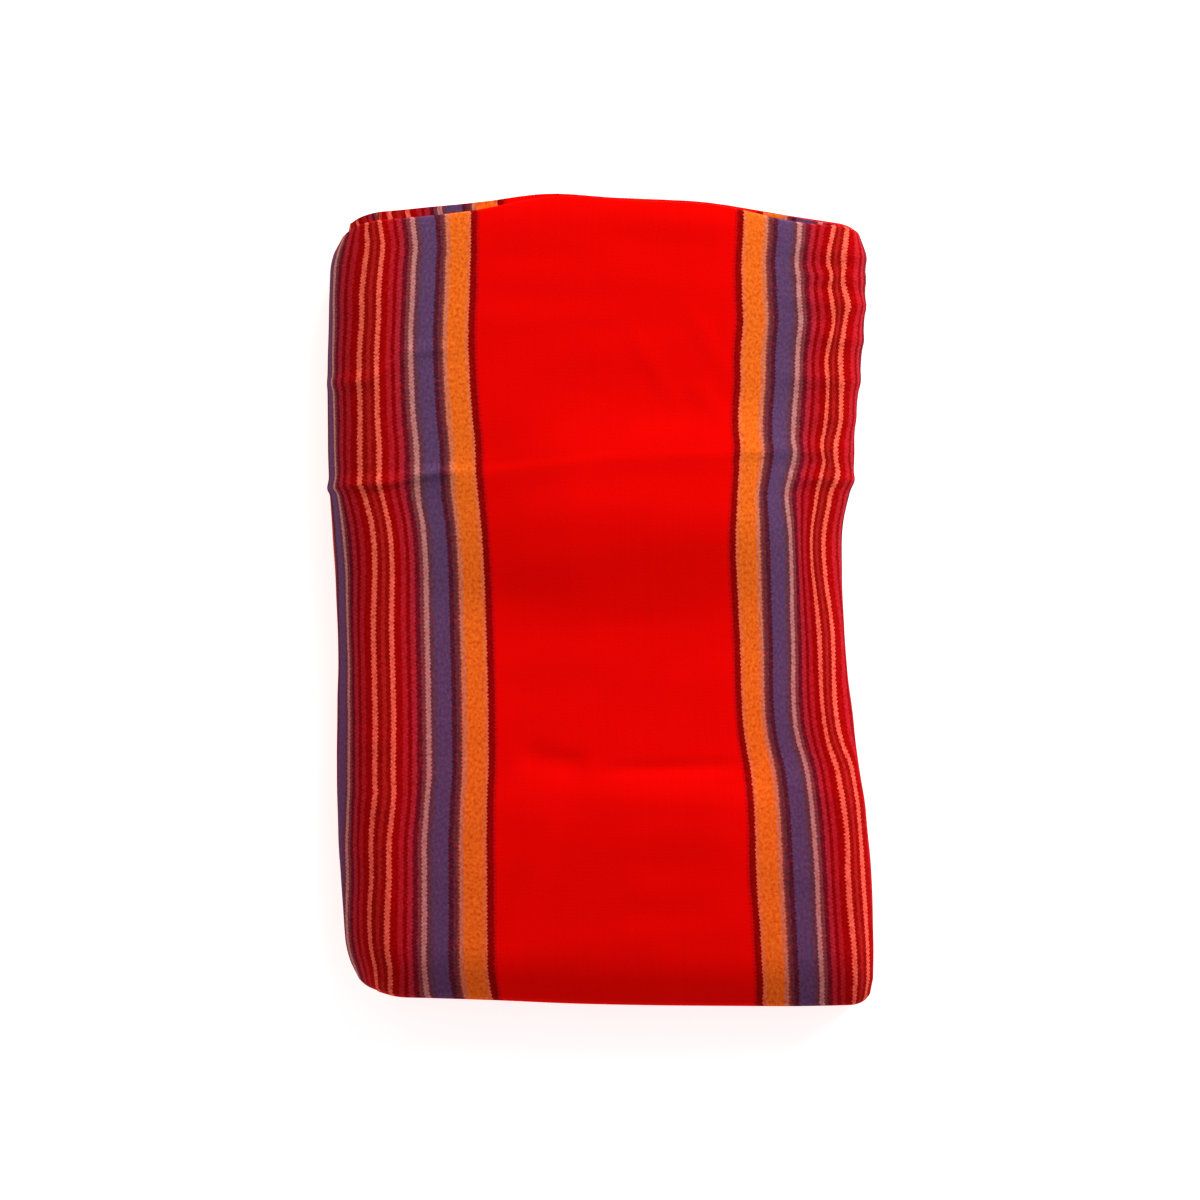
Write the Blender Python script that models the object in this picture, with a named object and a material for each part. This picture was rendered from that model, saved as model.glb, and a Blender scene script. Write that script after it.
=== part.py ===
"""Maasai shuka, a striped cloth of about 2.0 by 1.5 m, folded into a thick soft bundle.

The cloth is one piece and one solid. It is folded in four along its stripes, which makes a band of four
plies, and the band is folded in eight across them, so the bundle is 32 plies thick. Seen from above, +X is
to the right of the front page, +Y is its top and +Z is up. The origin lies under the middle of the bundle.
"""

import bpy
import numpy as np

MM = 0.001

# Cloth, in millimetres
CLOTH_THICK = 1.1
PLY_PITCH = 1.55

# Bundle before it settles, in millimetres
BUNDLE_WIDTH = 253.0
BUNDLE_HEIGHT = 381.0
PLY_ORDER = (4, 1, 2, 3)
PAGE_ORDER = (8, 1, 4, 5, 6, 3, 2, 7)
BAND_PITCH = PLY_PITCH * len(PLY_ORDER)
BUNDLE_THICK = BAND_PITCH * len(PAGE_ORDER)
HIDDEN_END_SET_BACK = 1.5

# How far the free ends of the plies stand past the upper fold, in millimetres: most at the left, nothing in
# the middle and a little at the right
REACH_LEFT = 4.4
REACH_LEFT_GROWS_OVER = 85.0
REACH_RIGHT = 2.0
REACH_RIGHT_AT = 90.0
REACH_RIGHT_SPREAD = 14.0

# Steps of the mesh
RUN_MARKS_ACROSS = (-60.0, -20.0, 55.0)
SINK_ENDS_AT = 178.0
RUN_MARKS_ALONG = (-SINK_ENDS_AT, -90.0, -25.0, 38.0, 100.0, SINK_ENDS_AT)
SPINE_STEPS = 6
FORE_EDGE_STEPS = 4
PLY_TURN_STEPS = 3

# Left and right sides of the bundle at heights up the front page, corners left out, in millimetres
SIDES = np.array([
    # y, left, right
    (-190.0, -118.5, 127.8),
    (-140.0, -121.2, 126.8),
    (-100.0, -123.3, 123.3),
    (-64.0, -123.6, 118.0),
    (-30.0, -123.2, 114.2),
    (0.0, -124.2, 112.4),
    (35.0, -126.0, 111.2),
    (56.0, -127.8, 116.2),
    (84.0, -128.3, 118.4),
    (113.0, -128.2, 121.4),
    (150.0, -127.2, 124.0),
    (190.0, -126.6, 125.0),
])

# Lower and upper folds of the front page from left to right, corners left out, in millimetres
ENDS = np.array([
    # x, lower, upper
    (-126.0, -186.0, 176.0),
    (-90.0, -186.6, 179.2),
    (-60.0, -187.6, 182.6),
    (-20.0, -189.3, 189.3),
    (14.0, -190.4, 187.8),
    (55.0, -190.4, 185.6),
    (92.0, -190.3, 178.4),
    (126.0, -189.6, 175.6),
])

# Rounding of each corner as seen from above: side (-1 left), end (-1 lower), radius
CORNERS = (
    (-1, -1, 28.0),
    (-1, 1, 22.0),
    (1, -1, 12.0),
    (1, 1, 11.0),
)
CORNER_ROUNDNESS = 0.85

# How far the top of the bundle sinks, as shares of its height
END_SINK = 0.09
WAIST_SINK = 0.05
WAIST_SPREAD = 34.0
FORE_EDGE_SINK = 0.08
CORNER_SINK = 0.04

# How unevenly the pages lie on each other: sideways drift, and the rise over which it comes and goes
DRIFT = 0.9
DRIFT_RISE_ACROSS = 27.0
DRIFT_RISE_ALONG = 33.0


def serpentine(order, pitch, near, far, marks, near_steps, far_steps):
    """Middle line of a sheet that runs back and forth, as rows of place, height and the two parts of its normal.

    The sheet visits the places in order, place 1 being the highest. It starts at the free far end of the first
    one and turns in a half circle at the end of each run. far holds the last stops of each place's run.
    """
    rows = []
    middle = (len(order) + 1) / 2
    heights = [(middle - place) * pitch for place in order]
    for i, place in enumerate(order):
        heading = 1 if i % 2 else -1
        stops = [near, *marks, *far[place]][::heading]
        rows += [(stop, heights[i], 0.0, heading) for stop in stops]
        if i + 1 == len(order):
            break
        rise = heights[i + 1] - heights[i]
        steps = far_steps if heading > 0 else near_steps
        for angle in np.linspace(0.0, np.pi, steps + 1)[1:-1]:
            out = heading * abs(rise) / 2 * np.sin(angle)
            up = rise / 2 * (1 - np.cos(angle))
            rows.append((stops[-1] + out, heights[i] + up, -np.sign(rise) * np.sin(angle), heading * np.cos(angle)))
    return np.array(rows)


def band_across():
    """The band of four plies across the stripes: eight pages, the thick folds at the left."""
    left = -BUNDLE_WIDTH / 2 + BUNDLE_THICK / 2
    right = BUNDLE_WIDTH / 2
    far = {place: [right - 2 * BAND_PITCH] for place in (1, 2, 3, 4)}
    far.update({place: [right - BAND_PITCH] for place in (5, 6)})
    far.update({7: [right - HIDDEN_END_SET_BACK], 8: [right - 2 * HIDDEN_END_SET_BACK]})
    return serpentine(PAGE_ORDER, BAND_PITCH, left, far, RUN_MARKS_ACROSS, SPINE_STEPS, FORE_EDGE_STEPS)


def plies_along():
    """The cloth along the stripes: four plies, with both free ends at the upper edge."""
    lower = -BUNDLE_HEIGHT / 2 + 2 * PLY_PITCH
    upper = BUNDLE_HEIGHT / 2
    fold = upper - PLY_PITCH
    far = {1: [fold], 2: [fold], 3: [fold, upper], 4: [fold, upper]}
    return serpentine(PLY_ORDER, PLY_PITCH, lower, far, RUN_MARKS_ALONG, PLY_TURN_STEPS, PLY_TURN_STEPS)


def free_end_reach(x):
    """How far a free end stands past the fold in front of it, at places from left to right."""
    at_left = REACH_LEFT * np.clip(-x / REACH_LEFT_GROWS_OVER, 0.0, 1.0)
    at_right = REACH_RIGHT * np.exp(-(((x - REACH_RIGHT_AT) / REACH_RIGHT_SPREAD) ** 2))
    return at_left + at_right


def cloth_faces(across, along):
    """Both faces of the folded cloth before it settles, indexed by face, station across, station along, xyz."""
    middle_height = (BUNDLE_THICK - PLY_PITCH + CLOTH_THICK) / 2
    x, z, normal_x, normal_z = across.T[:, :, None]
    y, lift, normal_y, normal_lift = along.T
    faces = []
    for side in (CLOTH_THICK / 2, -CLOTH_THICK / 2):
        out = lift + side * normal_lift
        face_x = x + out * normal_x
        face_y = np.broadcast_to(y + side * normal_y, face_x.shape).copy()
        face_y[:, [0, -1]] += free_end_reach(face_x[:, [0, -1]])
        face_z = z + out * normal_z + middle_height
        faces.append(np.stack([face_x, face_y, face_z], axis=-1))
    return np.array(faces)


def round_corner(x, y, side, end, radius):
    """Draws one square corner of the bundle in to a round one, as seen from above, sides and end alike."""
    across = np.clip(1 - (BUNDLE_WIDTH / 2 - side * x) / radius, 0.0, 1.0)
    along = np.clip(1 - (BUNDLE_HEIGHT / 2 - end * y) / radius, 0.0, 1.0)
    inward_x = radius * across * (1 - np.sqrt(1 - CORNER_ROUNDNESS * along**2 / 2))
    inward_y = radius * along * (1 - np.sqrt(1 - CORNER_ROUNDNESS * across**2 / 2))
    return x - side * inward_x, y - end * inward_y


def settle(points):
    """Moves the points of the straight bundle to the waisted, sunken shape in which it lies."""
    x, y, z = np.moveaxis(points, -1, 0)
    along = np.clip(np.abs(y) / SINK_ENDS_AT, 0.0, 1.0)
    across = np.abs(x) / (BUNDLE_WIDTH / 2)
    height = 1 - END_SINK * along**4 - WAIST_SINK * np.exp(-((y / WAIST_SPREAD) ** 2) / 2)
    height -= FORE_EDGE_SINK * np.clip(x / (BUNDLE_WIDTH / 2), 0.0, 1.0) ** 2
    height -= CORNER_SINK * along**4 * across**4
    for corner in CORNERS:
        x, y = round_corner(x, y, *corner)
    left = np.interp(y, SIDES[:, 0], SIDES[:, 1])
    right = np.interp(y, SIDES[:, 0], SIDES[:, 2])
    new_x = left + (right - left) * (x / BUNDLE_WIDTH + 0.5)
    new_x += DRIFT * np.sin(2 * np.pi * z / DRIFT_RISE_ACROSS + 4 * y / BUNDLE_HEIGHT)
    lower_shift = np.interp(x, ENDS[:, 0], ENDS[:, 1]) + BUNDLE_HEIGHT / 2
    upper_shift = np.interp(x, ENDS[:, 0], ENDS[:, 2]) - BUNDLE_HEIGHT / 2
    new_y = y + np.where(y < 0, lower_shift, upper_shift) * np.abs(2 * y / BUNDLE_HEIGHT) ** 3
    new_y += DRIFT * np.sin(2 * np.pi * z / DRIFT_RISE_ALONG + 3 * x / BUNDLE_WIDTH)
    return np.stack([new_x, new_y, z * height], axis=-1)


def grid_triangles(straight):
    """Triangles of both faces and of the rim that joins them, as rows of point numbers.

    Each four-sided cell is split along the same compass direction in every ply, so that plies that lie close
    together bend along the same lines.
    """
    faces, rows, columns = straight.shape[:3]
    index = np.arange(faces * rows * columns).reshape(faces, rows, columns)
    a, b = index[:, :-1, :-1], index[:, 1:, :-1]
    c, d = index[:, 1:, 1:], index[:, :-1, 1:]
    flat = straight[..., :2].reshape(-1, 2)
    span = flat[c] - flat[a]
    rising = span[..., 0] * span[..., 1] >= 0
    one = np.where(rising[..., None], np.stack([a, b, c], -1), np.stack([a, b, d], -1))
    two = np.where(rising[..., None], np.stack([a, c, d], -1), np.stack([b, c, d], -1))
    outer = np.concatenate([one[0].reshape(-1, 3), two[0].reshape(-1, 3)])
    inner = np.concatenate([one[1].reshape(-1, 3), two[1].reshape(-1, 3)])
    border = np.concatenate([index[:, :-1, 0], index[:, -1, :-1], index[:, :0:-1, -1], index[:, 0, :0:-1]], axis=1)
    upper, lower = border
    upper_next, lower_next = np.roll(upper, -1), np.roll(lower, -1)
    rim = np.concatenate([
        np.stack([upper, lower, lower_next], -1),
        np.stack([upper, lower_next, upper_next], -1),
    ])
    return np.concatenate([outer, inner[:, ::-1], rim])


def centred(points):
    """Shifts the points so that the origin is under the middle of their box."""
    low = points.min(axis=0)
    high = points.max(axis=0)
    return points - [(low[0] + high[0]) / 2, (low[1] + high[1]) / 2, low[2]]


def wool_material():
    """Soft red woven wool and acrylic."""
    material = bpy.data.materials.new("red_woven_cloth")
    material.use_nodes = True
    shader = material.node_tree.nodes["Principled BSDF"]
    shader.inputs["Base Color"].default_value = (0.70, 0.0, 0.0, 1.0)
    shader.inputs["Roughness"].default_value = 0.9
    shader.inputs["Metallic"].default_value = 0.0
    return material


def folded_cloth(name):
    """The whole folded cloth as one closed solid."""
    straight = cloth_faces(band_across(), plies_along())
    points = centred(settle(straight).reshape(-1, 3)) * MM
    mesh = bpy.data.meshes.new(name)
    mesh.from_pydata(points.tolist(), [], grid_triangles(straight).tolist())
    mesh.shade_smooth()
    mesh.materials.append(wool_material())
    cloth = bpy.data.objects.new(name, mesh)
    bpy.context.scene.collection.objects.link(cloth)
    return cloth


def main():
    for old in list(bpy.data.objects):
        bpy.data.objects.remove(old)
    folded_cloth("shuka_blanket")


main()
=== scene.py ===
"""Maasai shuka, folded: the fine surface of the cloth, its woven stripes, and plain studio light.

The cloth is one sheet, folded in four along its stripes, and then the band of four plies in eight across
them. Lengths are in millimetres until a mesh is made. u runs across the stripes and v along them.
"""

import math

import bpy
import numpy as np
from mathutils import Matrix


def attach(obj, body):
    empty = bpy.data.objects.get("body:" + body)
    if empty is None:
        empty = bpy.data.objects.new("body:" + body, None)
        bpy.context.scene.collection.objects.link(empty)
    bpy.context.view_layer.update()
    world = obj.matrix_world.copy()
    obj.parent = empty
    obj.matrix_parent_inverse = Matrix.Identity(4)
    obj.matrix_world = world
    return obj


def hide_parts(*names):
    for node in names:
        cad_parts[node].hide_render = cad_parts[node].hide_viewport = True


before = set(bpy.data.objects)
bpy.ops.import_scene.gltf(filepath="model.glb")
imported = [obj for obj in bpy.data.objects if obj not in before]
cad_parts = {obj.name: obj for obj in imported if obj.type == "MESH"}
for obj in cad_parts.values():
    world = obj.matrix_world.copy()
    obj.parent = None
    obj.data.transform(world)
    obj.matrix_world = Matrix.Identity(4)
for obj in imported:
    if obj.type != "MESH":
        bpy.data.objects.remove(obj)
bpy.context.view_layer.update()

MM = 0.001

# Cloth and folded bundle, as in the solid
CLOTH_THICK = 1.1
PLY_PITCH = 1.55
BUNDLE_WIDTH = 253.0
BUNDLE_HEIGHT = 381.0
PLY_ORDER = (4, 1, 2, 3)
PAGE_ORDER = (8, 1, 4, 5, 6, 3, 2, 7)
BAND_PITCH = PLY_PITCH * len(PLY_ORDER)
BUNDLE_THICK = BAND_PITCH * len(PAGE_ORDER)
HIDDEN_END_SET_BACK = 1.5
FRONT_RUN = 1

# Mesh: spacing on the front page and on the pages under it, and steps round each fold
FRONT_STEP_ACROSS = 3.3
FRONT_STEP_ALONG = 2.6
FINER_ALONG = (
    # y in the middle, half the length of the finer part, how much finer
    (57.0, 13.0, 1.3),
    (107.0, 12.0, 0.9),
    (-82.0, 14.0, 0.6),
)
DENSITY_SAMPLES = 2000
HIDDEN_STEPS_ACROSS = 8
HIDDEN_MARKS_ALONG = (166.0, 152.0, 134.0, 114.0, 94.0, 77.0, 62.0, 50.0, 38.0, 26.0, 13.0)
SPINE_STEPS = (24, 8, 8, 8)
FORE_EDGE_STEPS = (14, 8, 6)
LOWER_TURN_STEPS = (8, 4)
UPPER_TURN_STEPS = (6,)

# Left and right sides of the bundle at heights up the front page, corners left out
SIDES = np.array([
    # y, left, right
    (-190.0, -117.0, 127.8),
    (-140.0, -121.0, 126.8),
    (-100.0, -123.3, 123.3),
    (-64.0, -123.6, 118.0),
    (-30.0, -123.2, 114.2),
    (0.0, -124.2, 112.6),
    (35.0, -126.4, 113.0),
    (56.0, -128.0, 117.6),
    (84.0, -128.8, 119.2),
    (113.0, -129.0, 122.2),
    (150.0, -128.6, 124.8),
    (190.0, -128.0, 125.0),
])

# Lower and upper folds of the front page from left to right, corners left out
ENDS = np.array([
    # x, lower, upper
    (-126.0, -186.6, 175.2),
    (-90.0, -187.3, 177.6),
    (-60.0, -188.2, 181.0),
    (-20.0, -189.8, 188.3),
    (14.0, -190.5, 186.8),
    (55.0, -190.8, 184.9),
    (92.0, -190.9, 177.4),
    (126.0, -190.3, 175.0),
])

# Rounding of each corner seen from above: side (-1 left), end (-1 lower), radius across and along
CORNERS = (
    (-1, -1, 26.0, 29.0),
    (-1, 1, 27.0, 28.0),
    (1, -1, 12.0, 12.0),
    (1, 1, 15.0, 22.0),
)
CORNER_ROUNDNESS = 0.85

# The shifts of the two ends fade towards the middle as this power of the distance from it
END_SHIFT_POWER = 3

# How far the top of the bundle sinks, as shares of its height
SINK_ENDS_AT = 178.0
LOWER_END_SINK = 0.025
UPPER_END_SINK = 0.03
WAIST_SINK = 0.075
WAIST_SPREAD = 38.0
FORE_EDGE_SINK = 0.1
CORNER_SINK = 0.04
LOWER_ROLL = 0.19
LOWER_ROLL_FROM = 165.0
ROLL_TO = 190.5

# Drift of the pages on each other, the rise over which it comes and goes, and the radians by which its
# start turns over the length and the width of the bundle
DRIFT = 0.9
DRIFT_RISE_ACROSS = 27.0
DRIFT_RISE_ALONG = 33.0
DRIFT_AT_LOWER_END = 0.2
DRIFT_FADES_FROM = 100.0
DRIFT_FADES_OVER = 60.0
DRIFT_TURN_ALONG = 4
DRIFT_TURN_ACROSS = 3

# Reach of the free ends past the upper fold
REACH_LEFT = 4.9
REACH_LEFT_GROWS_OVER = 85.0
REACH_RIGHT = 2.0
REACH_RIGHT_AT = 90.0
REACH_RIGHT_SPREAD = 14.0

# The front ply stands a little off its bed, all but at its folds
PUFF = 0.8
PUFF_FADE = 10.0

# Creases and swells of the front ply: from one end to the other, how far each slope runs, and height
CREASES = np.array([
    # x from, y from, x to, y to, spread above, spread below, height
    (-58.0, 62.0, 114.0, 71.0, 17.0, 60.0, 4.0),
    (-84.0, 30.0, 110.0, 35.0, 25.0, 32.0, 4.9),
    (-74.0, 180.0, 78.0, 180.0, 5.0, 15.0, 0.8),
    (-140.0, 51.0, -90.0, 54.5, 4.0, 1.9, 1.7),
    (-106.0, 53.0, -64.0, 61.0, 3.2, 1.7, 1.2),
    (-92.0, 59.0, -62.0, 60.0, 1.8, 4.0, 0.9),
    (-80.0, 57.0, 10.0, 66.0, 2.0, 8.0, 0.5),
    (-20.0, 65.0, 84.0, 69.0, 2.0, 9.0, 0.5),
    (56.0, 69.0, 124.0, 69.5, 4.0, 3.5, 1.0),
    (-132.0, 101.0, -102.0, 101.5, 3.5, 2.6, 1.3),
    (-112.0, 99.5, -84.0, 117.0, 3.5, 2.5, 1.4),
    (-98.0, 115.5, -66.0, 117.0, 2.4, 2.0, 1.1),
    (8.0, 134.0, 38.0, 86.0, 4.0, 3.0, 0.35),
    (38.0, 140.0, 60.0, 102.0, 3.5, 3.0, 0.4),
    (40.0, 104.0, 60.0, 80.0, 5.0, 3.5, 0.45),
    (-58.0, 158.0, -4.0, 161.0, 4.0, 4.0, -0.3),
    (-56.0, 146.0, 40.0, 150.0, 9.0, 6.0, 0.35),
    (0.0, 168.0, 60.0, 166.0, 5.0, 5.0, -0.25),
    (-60.0, 130.0, 20.0, 134.0, 7.0, 5.0, 0.3),
    (80.0, 166.0, 136.0, 158.0, 5.0, 3.5, 1.1),
    (84.0, 152.0, 136.0, 149.0, 3.0, 3.0, 0.9),
    (80.0, 141.0, 136.0, 136.0, 4.0, 3.0, 1.1),
    (86.0, 124.0, 136.0, 120.0, 4.0, 3.5, 0.9),
    (78.0, 104.0, 136.0, 101.0, 5.0, 3.5, 0.9),
    (84.0, 86.0, 132.0, 84.0, 4.0, 4.0, 0.5),
    (82.0, 57.0, 130.0, 55.0, 3.5, 3.0, 1.2),
    (-40.0, -72.0, -4.0, -78.0, 5.0, 8.0, -1.2),
    (-6.0, -79.5, 74.0, -77.0, 2.6, 4.0, -0.8),
    (-62.0, -96.0, -14.0, -116.0, 22.0, 66.0, 2.0),
    (-50.0, -91.0, 96.0, -98.0, 14.0, 56.0, 2.3),
    (-90.0, -112.0, 14.0, -120.0, 26.0, 70.0, 0.5),
    (-26.0, -97.0, 140.0, -100.0, 14.0, 76.0, 2.0),
    (10.0, -124.0, 76.0, -128.0, 10.0, 9.0, -0.4),
    (-60.0, -118.0, 30.0, -124.0, 16.0, 12.0, 0.35),
    (2.0, -146.0, 60.0, -148.0, 7.0, 6.0, -0.4),
    (-50.0, -158.0, 40.0, -160.0, 9.0, 7.0, 0.5),
    (-124.0, -94.0, -88.0, -100.0, 6.0, 5.0, 0.6),
    (-120.0, -64.0, -88.0, -70.0, 4.0, 5.0, 0.5),
    (-118.0, -140.0, -80.0, -147.0, 8.0, 6.0, 0.4),
    (76.0, -82.0, 122.0, -96.0, 6.0, 5.0, 0.6),
    (80.0, -128.0, 126.0, -134.0, 6.0, 5.0, 0.5),
    (-120.0, 20.0, 108.0, 16.0, 14.0, 14.0, 0.4),
    (-118.0, -30.0, 110.0, -26.0, 12.0, 16.0, 0.4),
])
CREASE_FADE = 0.28
DEEPEST_DENT = 0.3

# Lifts reach this far round the folds beside the front ply, counted in runs, and past a fold's crown
NEAR_RUN = 0.75
PAST_CROWN = 0.9

# Slow waves all over the front ply: millimetres across and along for one wave, where it starts, and height
WAVES = np.array([
    # across, along, start, height
    (190.0, 37.0, 0.4, 0.10),
    (-140.0, 23.0, 2.1, 0.05),
    (61.0, -83.0, 4.0, 0.10),
    (-43.0, 140.0, 1.2, 0.06),
])

# Lines that the stripes follow on the front page, at heights up it
LEFT_LINES = np.array([
    # y, outer thin orange, inner thin orange, pink, edge of red
    (186.0, -113.5, -105.5, -88.3, -57.1),
    (179.0, -113.0, -104.9, -87.6, -57.3),
    (173.0, -109.8, -102.6, -86.9, -57.4),
    (165.0, -109.0, -101.8, -85.9, -57.3),
    (156.0, -109.8, -102.6, -86.8, -57.6),
    (145.0, -110.9, -103.5, -87.2, -57.8),
    (131.0, -111.0, -103.6, -87.9, -58.3),
    (115.0, -111.9, -104.3, -88.0, -58.1),
    (96.0, -111.8, -104.1, -87.4, -57.1),
    (84.0, -111.7, -103.9, -86.6, -56.2),
    (73.0, -111.8, -103.2, -85.3, -55.0),
    (61.0, -111.6, -103.0, -84.8, -54.6),
    (54.0, -111.2, -103.0, -84.7, -53.8),
    (49.0, -109.7, -101.7, -84.5, -53.4),
    (38.0, -107.1, -99.2, -82.8, -52.5),
    (-15.0, -106.0, -97.4, -80.5, -49.9),
    (-68.0, -105.1, -96.4, -79.5, -48.8),
    (-80.0, -105.3, -96.6, -79.4, -48.9),
    (-92.0, -105.3, -96.4, -80.4, -49.6),
    (-102.0, -106.7, -97.5, -81.2, -49.6),
    (-112.0, -107.4, -98.5, -81.9, -49.7),
    (-130.0, -107.4, -98.8, -81.8, -49.4),
    (-150.0, -108.8, -99.7, -81.8, -49.3),
    (-165.0, -108.0, -99.9, -82.2, -49.3),
    (-173.0, -107.2, -99.0, -82.1, -49.2),
    (-181.0, -109.0, -100.0, -81.5, -48.1),
    (-187.0, -111.0, -101.1, -80.4, -47.2),
])
RIGHT_LINES = np.array([
    # y, edge of red, pink, inner thin orange, outer thin orange
    (186.0, 64.1, 93.6, 111.2, 118.4),
    (178.0, 64.1, 92.9, 110.2, 117.4),
    (170.0, 63.8, 93.0, 108.6, 115.9),
    (161.0, 63.3, 91.7, 106.8, 113.7),
    (156.0, 63.0, 91.5, 106.9, 113.7),
    (152.0, 63.0, 92.1, 108.7, 113.0),
    (147.0, 63.1, 92.3, 107.2, 113.4),
    (142.0, 63.1, 92.4, 107.9, 114.8),
    (138.0, 63.3, 92.7, 108.5, 115.3),
    (131.0, 63.6, 93.2, 109.1, 114.0),
    (121.0, 62.9, 92.3, 107.3, 112.5),
    (113.0, 62.4, 91.9, 105.8, 112.1),
    (102.0, 62.5, 91.5, 106.3, 112.3),
    (89.0, 61.5, 90.3, 106.1, 112.2),
    (80.0, 61.6, 89.9, 105.1, 111.7),
    (74.0, 62.3, 90.0, 103.9, 110.3),
    (70.0, 62.5, 90.9, 104.0, 109.8),
    (65.0, 62.0, 90.2, 105.2, 110.1),
    (61.0, 62.2, 89.2, 104.1, 111.0),
    (56.0, 61.8, 88.0, 102.9, 109.9),
    (50.0, 61.5, 86.7, 101.5, 107.6),
    (44.0, 61.2, 87.1, 100.7, 106.6),
    (38.0, 60.7, 88.0, 99.7, 105.2),
    (-15.0, 62.4, 90.1, 102.7, 108.6),
    (-68.0, 65.4, 93.2, 107.5, 113.2),
    (-76.0, 66.8, 95.7, 110.1, 116.2),
    (-90.0, 68.4, 98.0, 112.7, 118.5),
    (-109.0, 69.2, 99.7, 115.3, 120.5),
    (-130.0, 69.6, 101.2, 115.9, 121.9),
    (-147.0, 71.0, 101.8, 117.2, 123.4),
    (-165.0, 72.1, 102.7, 118.9, 124.5),
    (-180.0, 73.0, 103.7, 119.8, 125.1),
])

# Stripes from the middle of the red field to the middle of the narrow ones; the order then runs back again
RED_FIELD_HALF = 60.9
PINK_OUT = 30.5
INNER_ORANGE_OUT = 45.9
OUTER_ORANGE_OUT = 54.3
STRIPES = (
    # width in mm, colour of the warp, share of it that the flecks of weft cover
    (59.5, "#F00300", 0.0),
    (1.6, "#D3040C", 0.1),
    (2.9, "#900404", 0.2),
    (1.5, "#F07240", 0.4),
    (8.6, "#F7711E", 0.4),
    (1.8, "#D87856", 0.4),
    (1.2, "#833F3A", 0.3),
    (1.4, "#643039", 0.3),
    (2.25, "#4D1C2D", 0.2),
    (6.75, "#5E4066", 0.05),
    (1.2, "#5E3D57", 0.1),
    (1.65, "#623745", 0.2),
    (2.4, "#C4827E", 0.4),
    (1.35, "#7C3A3E", 0.3),
    (2.45, "#6A1021", 0.3),
    (1.95, "#B22433", 0.4),
    (1.8, "#8F0208", 0.3),
    (2.1, "#B81C28", 0.4),
    (3.3, "#A10204", 0.3),
    (2.2, "#F96651", 0.5),
    (2.0, "#950A06", 0.4),
    (1.1, "#B31E1E", 0.4),
)
WEFT = "#C81404"

# Weave, as drawn: half of the weft's pitch
HALF_PITCH = 0.9

# A stripe's edge moves by these: reach and start, for the weft's own step, short strays and a long wander
TOOTH = (0.75, -0.34)
STRAY = (0.9, -0.45)
WANDER = (0.6, -0.3)

# Flecks start and are whole at these, in the grain of the flecks, which each thread of weft raises a little
WEFT_RISE = 0.05
FLECK_FROM, FLECK_TO = 0.49, 0.68
RIB_HEIGHT = 0.08

# Grain of each unevenness of the cloth
GRAINS = {
    # millimetres across and along, detail, roughness
    "stray": (3.0, 2.2, 1.0, 0.5),
    "wander": (400.0, 40.0, 1.0, 0.5),
    "fleck": (1.6, 1.9, 2.0, 0.65),
    "thread": (1.3, 90.0, 1.0, 0.5),
    "pick": (60.0, 2.4, 1.0, 0.5),
    "patch": (26.0, 15.0, 2.0, 0.5),
    "dash": (1.3, 1.7, 1.0, 0.5),
    "fuzz": (0.8, 1.0, 2.0, 0.6),
}

# How far threads, picks and broad patches differ in tone
TONES = (
    # grain, from, to, darkest, lightest
    ("thread", 0.3, 0.7, 0.985, 1.015),
    ("pick", 0.3, 0.7, 0.995, 1.005),
    ("patch", 0.25, 0.75, 0.98, 1.02),
)

# Dashes as short as one thread's way over another: from and to in the grain, and darkest and lightest
DASH = {1: 0.25, 2: 0.75, 3: -0.5, 4: 0.5}
DASH_STRENGTH = 0.55

# The nap's uneven light, as a power of the colour, whole from this share of weft up
NAP_STRENGTH = -0.2
STRIPED_SHARE = 0.05

# Painted shade: the colours are a little redder, and so darker, towards the front page's lower fold, which
# is at this place along the stripes
LOWER_FOLD_AT = 381.0
REDDER_FROM, REDDER_TO = 250.0, 110.0
GREEN_AT_FOLD = 0.8
BLUE_AT_FOLD = 0.86

# Finish of the cloth: the depth of the fuzz is in millimetres
CLOTH_ROUGHNESS = 1.0
CLOTH_SPECULAR = 0.02
NAP_SHEEN = 0.06
NAP_SHEEN_ROUGHNESS = 0.5
NAP_SHEEN_TINT = "#FF6050"
FUZZ_STRENGTH = 0.25
FUZZ_DEPTH = 0.4
SHARP_FROM_DEGREES = 55

# How far the stripes of the free ends lie to the right of those in front of them
END_STRIPES_LEFT = 15.0
END_STRIPES_RIGHT = 9.0

# Camera: the millimetres that the picture takes in at the height of the front page's edges
PICTURE_WIDTH = 564.0
LENS = 240.0
SENSOR = 36.0
AIM = (0.0, 0.2)

# Floor: metres, and the light that it gives off itself
FLOOR_REACH = 6.0
FLOOR_WHITE = 0.93
FLOOR_ROUGHNESS = 0.9
FLOOR_GLOW = 0.7

# Light: metres, degrees and watts
WORLD_LIGHT = 0.36
KEY_WATTS = 64.0
KEY_SIZE = 1.8
KEY_AWAY = 2.2
KEY_FROM_VERTICAL = 62.0
KEY_TO_THE_RIGHT = 34.0


def smooth_step(t):
    """3t^2 - 2t^3 between 0 and 1, level outside them."""
    t = np.clip(t, 0.0, 1.0)
    return t * t * (3.0 - 2.0 * t)


def curve_through(at, places, values):
    """Smooth curve of cubic pieces through the values, with each slope taken from the neighbours."""
    slopes = np.gradient(values, places)
    i = np.clip(np.searchsorted(places, at) - 1, 0, len(places) - 2)
    span = places[i + 1] - places[i]
    t = np.clip((at - places[i]) / span, 0.0, 1.0)
    start = values[i] * (1 + 2 * t) * (1 - t) ** 2 + slopes[i] * span * t * (1 - t) ** 2
    return start + values[i + 1] * t**2 * (3 - 2 * t) + slopes[i + 1] * span * t**2 * (t - 1)


def even_stops(low, high, steps):
    """Stops between low and high, both left out."""
    return np.linspace(low, high, steps + 1)[1:-1]


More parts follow.
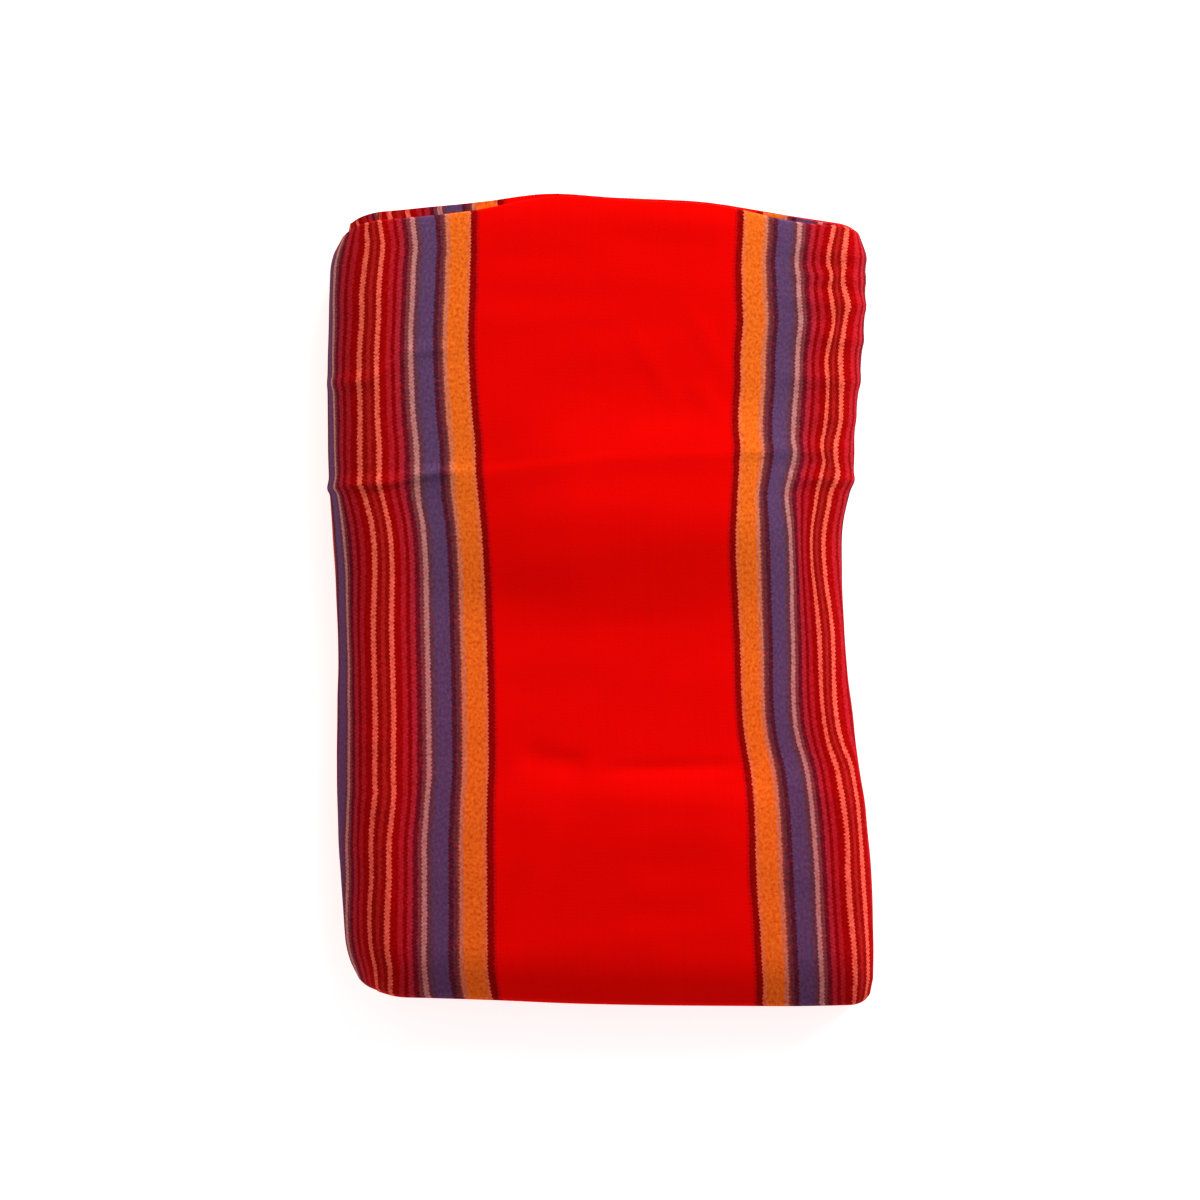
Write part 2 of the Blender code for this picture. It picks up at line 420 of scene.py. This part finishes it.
def front_marks(low, high):
    """Stops up the front page, closer where its creases are sharp.

    Their density goes as 1 + finer exp(-(d / length)^2), summed over the finer parts, and the stops are even
    steps of its running sum.
    """
    place = np.linspace(low, high, DENSITY_SAMPLES)
    density = 1.0 + sum(finer * np.exp(-(((place - at) / length) ** 2)) for at, length, finer in FINER_ALONG)
    count = np.concatenate([[0.0], np.cumsum((density[1:] + density[:-1]) / 2)])
    stops = round((high - low) / FRONT_STEP_ALONG)
    return np.interp(np.linspace(0.0, count[-1], stops + 1), count, place)


def serpentine(order, pitch, near, far, marks, near_steps, far_steps):
    """Middle line of a sheet that runs back and forth, as rows of place, height, normal and run number.

    Runs are straight. Each turn is half a circle: place + r sin(angle), height + r (1 - cos(angle)), with
    the normal turning as the circle does. A turn's run number ends in a half.
    """
    rows = []
    middle = (len(order) + 1) / 2
    heights = [(middle - place) * pitch for place in order]
    near_steps, far_steps = iter(near_steps), iter(far_steps)
    for i, place in enumerate(order):
        heading = 1 if i % 2 else -1
        stops = [near, *marks(i), *far[place]][::heading]
        rows += [(stop, heights[i], 0.0, heading, i) for stop in stops]
        if i + 1 == len(order):
            break
        rise = heights[i + 1] - heights[i]
        steps = next(far_steps if heading > 0 else near_steps)
        angle = even_stops(0.0, math.pi, steps)
        rows += zip(
            stops[-1] + heading * abs(rise) / 2 * np.sin(angle),
            heights[i] + rise / 2 * (1 - np.cos(angle)),
            -np.sign(rise) * np.sin(angle),
            heading * np.cos(angle),
            np.full(len(angle), i + 0.5),
        )
    return np.array(rows)


def band_across():
    """The band of four plies across the stripes: eight pages, the thick folds at the left."""
    left = -BUNDLE_WIDTH / 2 + BUNDLE_THICK / 2
    right = BUNDLE_WIDTH / 2
    fold = right - 2 * BAND_PITCH
    far = {place: [fold] for place in (1, 2, 3, 4)}
    far.update({place: [right - BAND_PITCH] for place in (5, 6)})
    far.update({7: [right - HIDDEN_END_SET_BACK], 8: [right - 2 * HIDDEN_END_SET_BACK]})
    front = even_stops(left, fold, round((fold - left) / FRONT_STEP_ACROSS))
    hidden = even_stops(left, fold, HIDDEN_STEPS_ACROSS)
    return serpentine(
        PAGE_ORDER, BAND_PITCH, left, far, lambda run: front if run == FRONT_RUN else hidden,
        SPINE_STEPS, FORE_EDGE_STEPS,
    )


def plies_along():
    """The cloth along the stripes: four plies, with both free ends at the upper edge."""
    lower = -BUNDLE_HEIGHT / 2 + 2 * PLY_PITCH
    upper = BUNDLE_HEIGHT / 2
    fold = upper - PLY_PITCH
    far = {1: [fold], 2: [fold], 3: [fold, upper], 4: [fold, upper]}
    ends = [-SINK_ENDS_AT, SINK_ENDS_AT]
    front = front_marks(*ends)
    half = list(HIDDEN_MARKS_ALONG)
    hidden = [ends[0], *[-mark for mark in half], 0.0, *half[::-1], ends[1]]
    return serpentine(
        PLY_ORDER, PLY_PITCH, lower, far, lambda run: front if run == FRONT_RUN else hidden,
        LOWER_TURN_STEPS, UPPER_TURN_STEPS,
    )


def free_end_reach(x):
    """How far a free end stands past the fold in front of it, at places from left to right."""
    at_left = REACH_LEFT * smooth_step(-x / REACH_LEFT_GROWS_OVER)
    at_right = REACH_RIGHT * np.exp(-(((x - REACH_RIGHT_AT) / REACH_RIGHT_SPREAD) ** 2))
    return at_left + at_right


def cloth_faces(across, along):
    """Both faces of the folded cloth before it settles, by face, station across, station along and xyz."""
    middle_height = (BUNDLE_THICK - PLY_PITCH + CLOTH_THICK) / 2
    x, z, normal_x, normal_z = across.T[:4, :, None]
    y, lift, normal_y, normal_lift = along.T[:4]
    faces = []
    for side in (CLOTH_THICK / 2, -CLOTH_THICK / 2):
        out = lift + side * normal_lift
        face_x = x + out * normal_x
        face_y = np.broadcast_to(y + side * normal_y, face_x.shape).copy()
        face_y[:, [0, -1]] += free_end_reach(face_x[:, [0, -1]])
        face_z = z + out * normal_z + middle_height
        faces.append(np.stack([face_x, face_y, face_z], axis=-1))
    return np.array(faces)


def round_corner(x, y, side, end, radius_across, radius_along):
    """Draws one square corner of the bundle in to a round one, by p sqrt(1 - k q^2 / 2) on both axes."""
    across = np.clip(1 - (BUNDLE_WIDTH / 2 - side * x) / radius_across, 0.0, 1.0)
    along = np.clip(1 - (BUNDLE_HEIGHT / 2 - end * y) / radius_along, 0.0, 1.0)
    inward_x = radius_across * across * (1 - np.sqrt(1 - CORNER_ROUNDNESS * along**2 / 2))
    inward_y = radius_along * along * (1 - np.sqrt(1 - CORNER_ROUNDNESS * across**2 / 2))
    return x - side * inward_x, y - end * inward_y


def sides_at(y):
    """Left and right sides of the bundle at heights up it."""
    return curve_through(y, SIDES[:, 0], SIDES[:, 1]), curve_through(y, SIDES[:, 0], SIDES[:, 2])


def drift_across(y, z):
    """Sideways drift of the pages: a sine of the height z, whose start turns slowly along y."""
    return DRIFT * np.sin(2 * np.pi * z / DRIFT_RISE_ACROSS + DRIFT_TURN_ALONG * y / BUNDLE_HEIGHT)


def settle(points):
    """Moves the points of the straight bundle to the waisted, sunken shape in which it lies.

    Its height is 1, less a share at each end that goes as the sixth power of y, less a bell curve at the
    waist, less the cube of x on the right, less the fourth powers of both at the corners, less the square of
    the way into the roll of the lower end. x is then stretched to lie between the sides, and y is moved by
    the shifts of the two ends.
    """
    x, y, z = np.moveaxis(points, -1, 0)
    along = np.minimum(np.abs(y), np.where(y < 0, ROLL_TO, SINK_ENDS_AT)) / SINK_ENDS_AT
    across = np.abs(x) / (BUNDLE_WIDTH / 2)
    end_sink = np.where(y < 0, LOWER_END_SINK, UPPER_END_SINK)
    height = 1 - end_sink * along**6 - WAIST_SINK * np.exp(-((y / WAIST_SPREAD) ** 2) / 2)
    height -= FORE_EDGE_SINK * np.clip(x / (BUNDLE_WIDTH / 2), 0.0, 1.0) ** 3
    height -= CORNER_SINK * along**4 * across**4
    height -= LOWER_ROLL * np.clip((-y - LOWER_ROLL_FROM) / (ROLL_TO - LOWER_ROLL_FROM), 0.0, 1.0) ** 2
    for corner in CORNERS:
        x, y = round_corner(x, y, *corner)
    left, right = sides_at(y)
    new_x = left + (right - left) * (x / BUNDLE_WIDTH + 0.5) + drift_across(y, z)
    lower_shift = curve_through(x, ENDS[:, 0], ENDS[:, 1]) + BUNDLE_HEIGHT / 2
    upper_shift = curve_through(x, ENDS[:, 0], ENDS[:, 2]) - BUNDLE_HEIGHT / 2
    new_y = y + np.where(y < 0, lower_shift, upper_shift) * np.abs(2 * y / BUNDLE_HEIGHT) ** END_SHIFT_POWER
    stacked = 1 - (1 - DRIFT_AT_LOWER_END) * smooth_step((-y - DRIFT_FADES_FROM) / DRIFT_FADES_OVER)
    turned = DRIFT_TURN_ACROSS * x / BUNDLE_WIDTH
    new_y += stacked * DRIFT * np.sin(2 * np.pi * z / DRIFT_RISE_ALONG + turned)
    return np.stack([new_x, new_y, z * height], axis=-1)


def crease_heights(x, y):
    """How far the front ply stands off its bed: an even puff, slow waves, and the sum of the creases.

    Each crease is height exp(-(d / spread)^2) at a distance d off its line, with its own spread on each
    side, and fades out at both ends of the line. The sum h is kept above the bed by
    (h + sqrt(h^2 + dent^2)) / 2 - dent.
    """
    inside_y = (BUNDLE_HEIGHT / 2 - np.abs(y)) / PUFF_FADE
    inside_x = (BUNDLE_WIDTH / 2 - np.abs(x)) / PUFF_FADE
    total = PUFF * smooth_step(inside_y) * smooth_step(inside_x)
    for across, along, start, height in WAVES:
        total += height * np.sin(2 * np.pi * (x / across + y / along) + start)
    for x0, y0, x1, y1, above, below, height in CREASES:
        length = math.hypot(x1 - x0, y1 - y0)
        run_x, run_y = (x1 - x0) / length, (y1 - y0) / length
        t = ((x - x0) * run_x + (y - y0) * run_y) / length
        off = (y - y0) * run_x - (x - x0) * run_y
        fade = smooth_step(t / CREASE_FADE) * smooth_step((1 - t) / CREASE_FADE)
        spread = np.where(off > 0, above, below)
        total += height * fade * np.exp(-((off / spread) ** 2))
    return (total + np.sqrt(total**2 + DEEPEST_DENT**2)) / 2 - DEEPEST_DENT


def crease(points, across, along):
    """Lifts the front ply off its bed by the creases, along the fold's own normal."""
    near_front = np.abs(across[:, 4] - FRONT_RUN) < NEAR_RUN
    over = smooth_step(across[:, 3] + PAST_CROWN) * near_front
    first_ply = np.abs(along[:, 4] - FRONT_RUN) < NEAR_RUN
    up = smooth_step(along[:, 3]) * first_ply
    lift = crease_heights(points[..., 0], points[..., 1]) * over[:, None] * up
    points[..., 0] += lift * across[:, 2][:, None]
    points[..., 2] += lift * across[:, 3][:, None]
    return points


def running_length(line):
    """Length along a folded line up to each of its stations."""
    return np.concatenate([[0.0], np.cumsum(np.hypot(*np.diff(line[:, :2], axis=0).T))])


def unrolled(flat, page_left, page_right):
    """Length along the band's middle line for places seen from above, with the turns at both sides unrolled.

    On a turn of radius r about its own axis, a place that lies d past the page is r' asin(d / r) along it,
    where r' is the radius of the band's middle line.
    """
    left_turn = BUNDLE_THICK / 2
    right_turn = BAND_PITCH * (PAGE_ORDER[2] - PAGE_ORDER[1] + 1) / 2
    past_left = np.arcsin(np.clip((page_left - flat) / left_turn, 0.0, 1.0))
    past_right = np.arcsin(np.clip((flat - page_right) / right_turn, 0.0, 1.0))
    length = np.clip(flat, page_left, page_right)
    return length - (left_turn - BAND_PITCH / 2) * past_left + (right_turn - BAND_PITCH / 2) * past_right


def stripe_places(points, across, along, centre):
    """u and v of each point, with u 0 in the middle of the front page's red field.

    u is the length along the folded band, moved so that the red edges, the pink stripes and the thin orange
    ones cross the front page where the tables of lines say, and moved a little more towards the free ends.
    """
    length = running_length(across)
    front = across[:, 4] == FRONT_RUN
    length -= np.interp(0.0, across[front, 0], length[front])
    y = points[..., 1]
    left, right = sides_at(y)
    drift = drift_across(y, BUNDLE_THICK)
    outward = np.array([OUTER_ORANGE_OUT, INNER_ORANGE_OUT, PINK_OUT, 0.0])
    targets = np.concatenate([-RED_FIELD_HALF - outward, RED_FIELD_HALF + outward[::-1]])
    crossings = []
    for lines in (LEFT_LINES, RIGHT_LINES):
        for places in lines.T[1:]:
            line = curve_through(y - centre[1], lines[::-1, 0], places[::-1]) + centre[0] - drift
            flat = ((line - left) / (right - left) - 0.5) * BUNDLE_WIDTH
            crossings.append(unrolled(flat, across[front, 0].min(), across[front, 0].max()))
    here = np.broadcast_to(length[:, None], y.shape)
    shift = targets[0] - crossings[0]
    for k in range(len(targets) - 1):
        t = np.clip((here - crossings[k]) / (crossings[k + 1] - crossings[k]), 0.0, 1.0)
        shift = shift + t * ((targets[k + 1] - crossings[k + 1]) - (targets[k] - crossings[k]))
    away = np.abs(across[:, 4] - FRONT_RUN)[:, None]
    shift = shift * np.clip(2.0 - away, 0.0, 1.0)
    v = running_length(along)
    first = np.flatnonzero(along[:, 4] == FRONT_RUN)
    past = np.clip((v - v[first[-1]]) / (v[-1] - v[first[-1]]), 0.0, 1.0)
    past += np.clip(1 - v / v[first[0]], 0.0, 1.0)
    rightness = np.clip(points[..., 0] / BUNDLE_WIDTH + 0.5, 0.0, 1.0)
    end_shift = END_STRIPES_LEFT + (END_STRIPES_RIGHT - END_STRIPES_LEFT) * rightness
    heading = np.where(across[:, 4] % 2 >= 1, 1.0, -1.0)[:, None]
    return here + shift - end_shift * past * heading, v


def grid_faces(faces, rows, columns):
    """Four-sided faces of both sides and of the rim that joins them, as rows of point numbers."""
    index = np.arange(faces * rows * columns).reshape(faces, rows, columns)
    cells = np.stack([index[:, :-1, :-1], index[:, 1:, :-1], index[:, 1:, 1:], index[:, :-1, 1:]], -1)
    edges = [index[:, :-1, 0], index[:, -1, :-1], index[:, :0:-1, -1], index[:, 0, :0:-1]]
    upper, lower = np.concatenate(edges, axis=1)
    rim = np.stack([upper, lower, np.roll(lower, -1), np.roll(upper, -1)], -1)
    return np.concatenate([cells[0].reshape(-1, 4), cells[1].reshape(-1, 4)[:, ::-1], rim])


def folded_cloth(name, material):
    """The folded cloth as one closed two-sided sheet, with u and v in metres as its UV map."""
    across = band_across()
    along = plies_along()
    points = crease(settle(cloth_faces(across, along)), across, along)
    low = points.reshape(-1, 3).min(axis=0)
    high = points.reshape(-1, 3).max(axis=0)
    centre = (low + high) / 2
    u, v = stripe_places(points[0], across, along, centre)
    points -= [centre[0], centre[1], low[2]]
    mesh = bpy.data.meshes.new(name)
    faces = grid_faces(*points.shape[:3])
    mesh.from_pydata((points.reshape(-1, 3) * MM).tolist(), [], faces.tolist())
    one_side = np.stack([u, np.broadcast_to(v, u.shape)], axis=-1).reshape(-1, 2) * MM
    uv = np.concatenate([one_side, one_side])
    layer = mesh.uv_layers.new(name="woven_length")
    layer.data.foreach_set("uv", uv[faces.reshape(-1)].reshape(-1))
    mesh.shade_smooth()
    mesh.set_sharp_from_angle(angle=math.radians(SHARP_FROM_DEGREES))
    mesh.materials.append(material)
    cloth = bpy.data.objects.new(name, mesh)
    bpy.context.scene.collection.objects.link(cloth)
    return cloth, (float(running_length(across)[-1]) * MM, float(v[-1]) * MM)


def linear(colour):
    """An sRGB hex colour as linear red, green, blue and 1."""
    parts = np.array([int(colour[i:i + 2], 16) for i in (1, 3, 5)]) / 255
    low, high = parts / 12.92, ((parts + 0.055) / 1.055) ** 2.4
    return (*np.where(parts <= 0.04045, low, high).tolist(), 1.0)


def add(tree, kind, inputs=None, **settings):
    """Adds a node with its settings, and gives its outputs.

    Each input is a value, or an output that it is linked from.
    """
    made = tree.nodes.new(kind)
    for name, value in settings.items():
        setattr(made, name, value)
    for key, value in (inputs or {}).items():
        if isinstance(value, bpy.types.NodeSocket):
            tree.links.new(value, made.inputs[key])
        else:
            made.inputs[key].default_value = value
    return made.outputs


def stripe_ramp(ramp, half_repeat):
    """Sets a ramp to the stripes, each with a crisp edge; its alpha is the share where the weft shows."""
    ramp.interpolation = "CONSTANT"
    start = 0.0
    for i, (width, colour, share) in enumerate(STRIPES):
        stop = ramp.elements[0] if i == 0 else ramp.elements.new(start / half_repeat)
        stop.color = (*linear(colour)[:3], share)
        start += width
    ramp.elements.remove(ramp.elements[-1])


def woven_wool(name):
    """Brushed plain-woven acrylic and wool: matt, with a short nap.

    Real threads are about 1.1 mm apart. The weft is drawn at 1.8 mm, or it would be finer than a pixel.
    """
    material = bpy.data.materials.new(name)
    material.use_nodes = True
    tree = material.node_tree
    shader = tree.nodes["Principled BSDF"]
    uv = add(tree, "ShaderNodeUVMap", uv_map="woven_length")
    in_mm = add(tree, "ShaderNodeVectorMath", {0: uv[0], "Scale": 1 / MM}, operation="SCALE")
    parts = add(tree, "ShaderNodeSeparateXYZ", {0: in_mm[0]})
    u, v = parts[0], parts[1]
    grain = {}
    for kind, (across, along, detail, rough) in GRAINS.items():
        scaled = add(tree, "ShaderNodeMapping", {0: in_mm[0], "Scale": (1 / across, 1 / along, 1.0)})
        settings = {"Vector": scaled[0], "Scale": 1.0, "Detail": detail, "Roughness": rough}
        grain[kind] = add(tree, "ShaderNodeTexNoise", settings)["Fac"]

    # Stripe edges step out and in by a third of a millimetre with each weft thread, and stray a little
    pick_wave = add(tree, "ShaderNodeMath", {0: v, 1: HALF_PITCH}, operation="PINGPONG")
    ragged = u
    for wave, (reach, start) in ((pick_wave[0], TOOTH), (grain["stray"], STRAY), (grain["wander"], WANDER)):
        step = add(tree, "ShaderNodeMath", {0: wave, 1: reach, 2: start}, operation="MULTIPLY_ADD")
        ragged = add(tree, "ShaderNodeMath", {0: ragged, 1: step[0]}, operation="ADD")[0]
    half_repeat = sum(width for width, colour, share in STRIPES)
    across_half = add(tree, "ShaderNodeMath", {0: ragged, 1: half_repeat}, operation="PINGPONG")
    place = add(tree, "ShaderNodeMath", {0: across_half[0], 1: half_repeat}, operation="DIVIDE")
    stripes = add(tree, "ShaderNodeValToRGB", {0: place[0]})
    stripe_ramp(stripes["Color"].node.color_ramp, half_repeat)

    # Weft shows as scattered flecks between the threads of the warp, a little more along each weft thread
    risen = {0: pick_wave[0], 1: WEFT_RISE, 2: grain["fleck"]}
    fleck = add(tree, "ShaderNodeMath", risen, operation="MULTIPLY_ADD")
    between = {0: fleck[0], 1: FLECK_FROM, 2: FLECK_TO}
    bare = add(tree, "ShaderNodeMapRange", between, interpolation_type="SMOOTHSTEP")
    shown = add(tree, "ShaderNodeMath", {0: bare[0], 1: stripes["Alpha"]}, operation="MULTIPLY")
    yarns = {0: shown[0], 6: stripes["Color"], 7: linear(WEFT)}
    woven = add(tree, "ShaderNodeMix", yarns, data_type="RGBA")

    # Threads of one colour differ a little, most in the narrow stripes, and so do broad patches of the nap
    dash = add(tree, "ShaderNodeMapRange", {0: grain["dash"], **DASH})
    striped_dash = add(tree, "ShaderNodeMath", {0: dash[0], 1: stripes["Alpha"]}, operation="MULTIPLY")
    dashes = {0: striped_dash[0], 1: DASH_STRENGTH, 2: 1.0}
    tone = add(tree, "ShaderNodeMath", dashes, operation="MULTIPLY_ADD")[0]
    for kind, low, high, darkest, lightest in TONES:
        spread = add(tree, "ShaderNodeMapRange", {0: grain[kind], 1: low, 2: high, 3: darkest, 4: lightest})
        tone = add(tree, "ShaderNodeMath", {0: tone, 1: spread[0]}, operation="MULTIPLY")[0]
    coloured = add(tree, "ShaderNodeVectorMath", {0: woven[2], "Scale": tone}, operation="SCALE")

    # Painted shade: green and blue fall towards the lower fold of the front page, so the colours are redder
    # and darker there
    above_fold = add(tree, "ShaderNodeMath", {0: v, 1: LOWER_FOLD_AT}, operation="SUBTRACT")
    from_fold = add(tree, "ShaderNodeMath", {0: above_fold[0]}, operation="ABSOLUTE")
    keeps = []
    for at_fold in (GREEN_AT_FOLD, BLUE_AT_FOLD):
        fade = {0: from_fold[0], 1: REDDER_TO, 2: REDDER_FROM, 3: at_fold}
        keeps.append(add(tree, "ShaderNodeMapRange", fade, interpolation_type="SMOOTHSTEP")[0])
    redder = add(tree, "ShaderNodeCombineXYZ", {0: 1.0, 1: keeps[0], 2: keeps[1]})
    reddened_in_shade = add(tree, "ShaderNodeVectorMath", {0: coloured[0], 1: redder[0]}, operation="MULTIPLY")

    # Short fibres of the nap catch the light unevenly: it shows most in dark dyes, not on the red field
    striped = add(tree, "ShaderNodeMapRange", {0: stripes["Alpha"], 1: 0.0, 2: STRIPED_SHARE})
    speck = add(tree, "ShaderNodeMath", {0: dash[0], 1: striped[0]}, operation="MULTIPLY")
    uneven = add(tree, "ShaderNodeMath", {0: speck[0], 1: NAP_STRENGTH, 2: 1.0}, operation="MULTIPLY_ADD")
    specked = add(tree, "ShaderNodeGamma", {0: reddened_in_shade[0], 1: uneven[0]})
    tree.links.new(specked[0], shader.inputs["Base Color"])

    # Ribs of the weft under the fuzz of the nap
    ribbed = {0: pick_wave[0], 1: RIB_HEIGHT, 2: grain["fuzz"]}
    fuzz = add(tree, "ShaderNodeMath", ribbed, operation="MULTIPLY_ADD")
    relief = {"Strength": FUZZ_STRENGTH, "Distance": FUZZ_DEPTH * MM, "Height": fuzz[0]}
    tree.links.new(add(tree, "ShaderNodeBump", relief)[0], shader.inputs["Normal"])
    shader.inputs["Roughness"].default_value = CLOTH_ROUGHNESS
    shader.inputs["Specular IOR Level"].default_value = CLOTH_SPECULAR
    shader.inputs["Sheen Weight"].default_value = NAP_SHEEN
    shader.inputs["Sheen Roughness"].default_value = NAP_SHEEN_ROUGHNESS
    shader.inputs["Sheen Tint"].default_value = linear(NAP_SHEEN_TINT)
    return material


def studio_floor():
    """A white level floor, lit a little from below, wide enough to fill every view."""
    mesh = bpy.data.meshes.new("floor")
    corners = [(FLOOR_REACH * x, FLOOR_REACH * y, 0.0) for x, y in ((-1, -1), (1, -1), (1, 1), (-1, 1))]
    mesh.from_pydata(corners, [], [(0, 1, 2, 3)])
    material = bpy.data.materials.new("white_card")
    material.use_nodes = True
    shader = material.node_tree.nodes["Principled BSDF"]
    shader.inputs["Base Color"].default_value = (FLOOR_WHITE, FLOOR_WHITE, FLOOR_WHITE, 1.0)
    shader.inputs["Roughness"].default_value = FLOOR_ROUGHNESS
    shader.inputs["Specular IOR Level"].default_value = 0.0
    shader.inputs["Emission Color"].default_value = (1.0, 1.0, 1.0, 1.0)
    shader.inputs["Emission Strength"].default_value = FLOOR_GLOW
    mesh.materials.append(material)
    floor = bpy.data.objects.new("floor", mesh)
    bpy.context.scene.collection.objects.link(floor)


def studio_light():
    """Even white surroundings, and one broad lamp from beyond the top right of the front page."""
    world = bpy.data.worlds.new("studio")
    bpy.context.scene.world = world
    world.use_nodes = True
    background = world.node_tree.nodes["Background"]
    background.inputs["Color"].default_value = (1.0, 1.0, 1.0, 1.0)
    background.inputs["Strength"].default_value = WORLD_LIGHT
    lamp = bpy.data.lights.new("key", "AREA")
    lamp.energy = KEY_WATTS
    lamp.size = KEY_SIZE
    key = bpy.data.objects.new("key", lamp)
    down, turn = math.radians(KEY_FROM_VERTICAL), math.radians(KEY_TO_THE_RIGHT)
    flat_reach = KEY_AWAY * math.sin(down)
    key.location = (flat_reach * math.sin(turn), flat_reach * math.cos(turn), KEY_AWAY * math.cos(down))
    key.rotation_euler = (-down, 0.0, -turn)
    bpy.context.scene.collection.objects.link(key)


def camera():
    """Straight above the bundle, with the top of the front page at the top of the picture."""
    height = PICTURE_WIDTH * MM * LENS / SENSOR + BUNDLE_THICK / 2 * MM
    lens = bpy.data.cameras.new("camera")
    lens.lens = LENS
    lens.sensor_width = SENSOR
    eye = bpy.data.objects.new("camera", lens)
    eye.location = (AIM[0] * MM, AIM[1] * MM, height)
    bpy.context.scene.collection.objects.link(eye)
    bpy.context.scene.camera = eye


cloth, flat = folded_cloth("folded_cloth", woven_wool("brushed_plain_weave"))
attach(cloth, "root")
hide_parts("shuka_blanket")
studio_floor()
studio_light()
camera()
bpy.context.scene.view_settings.view_transform = "Standard"
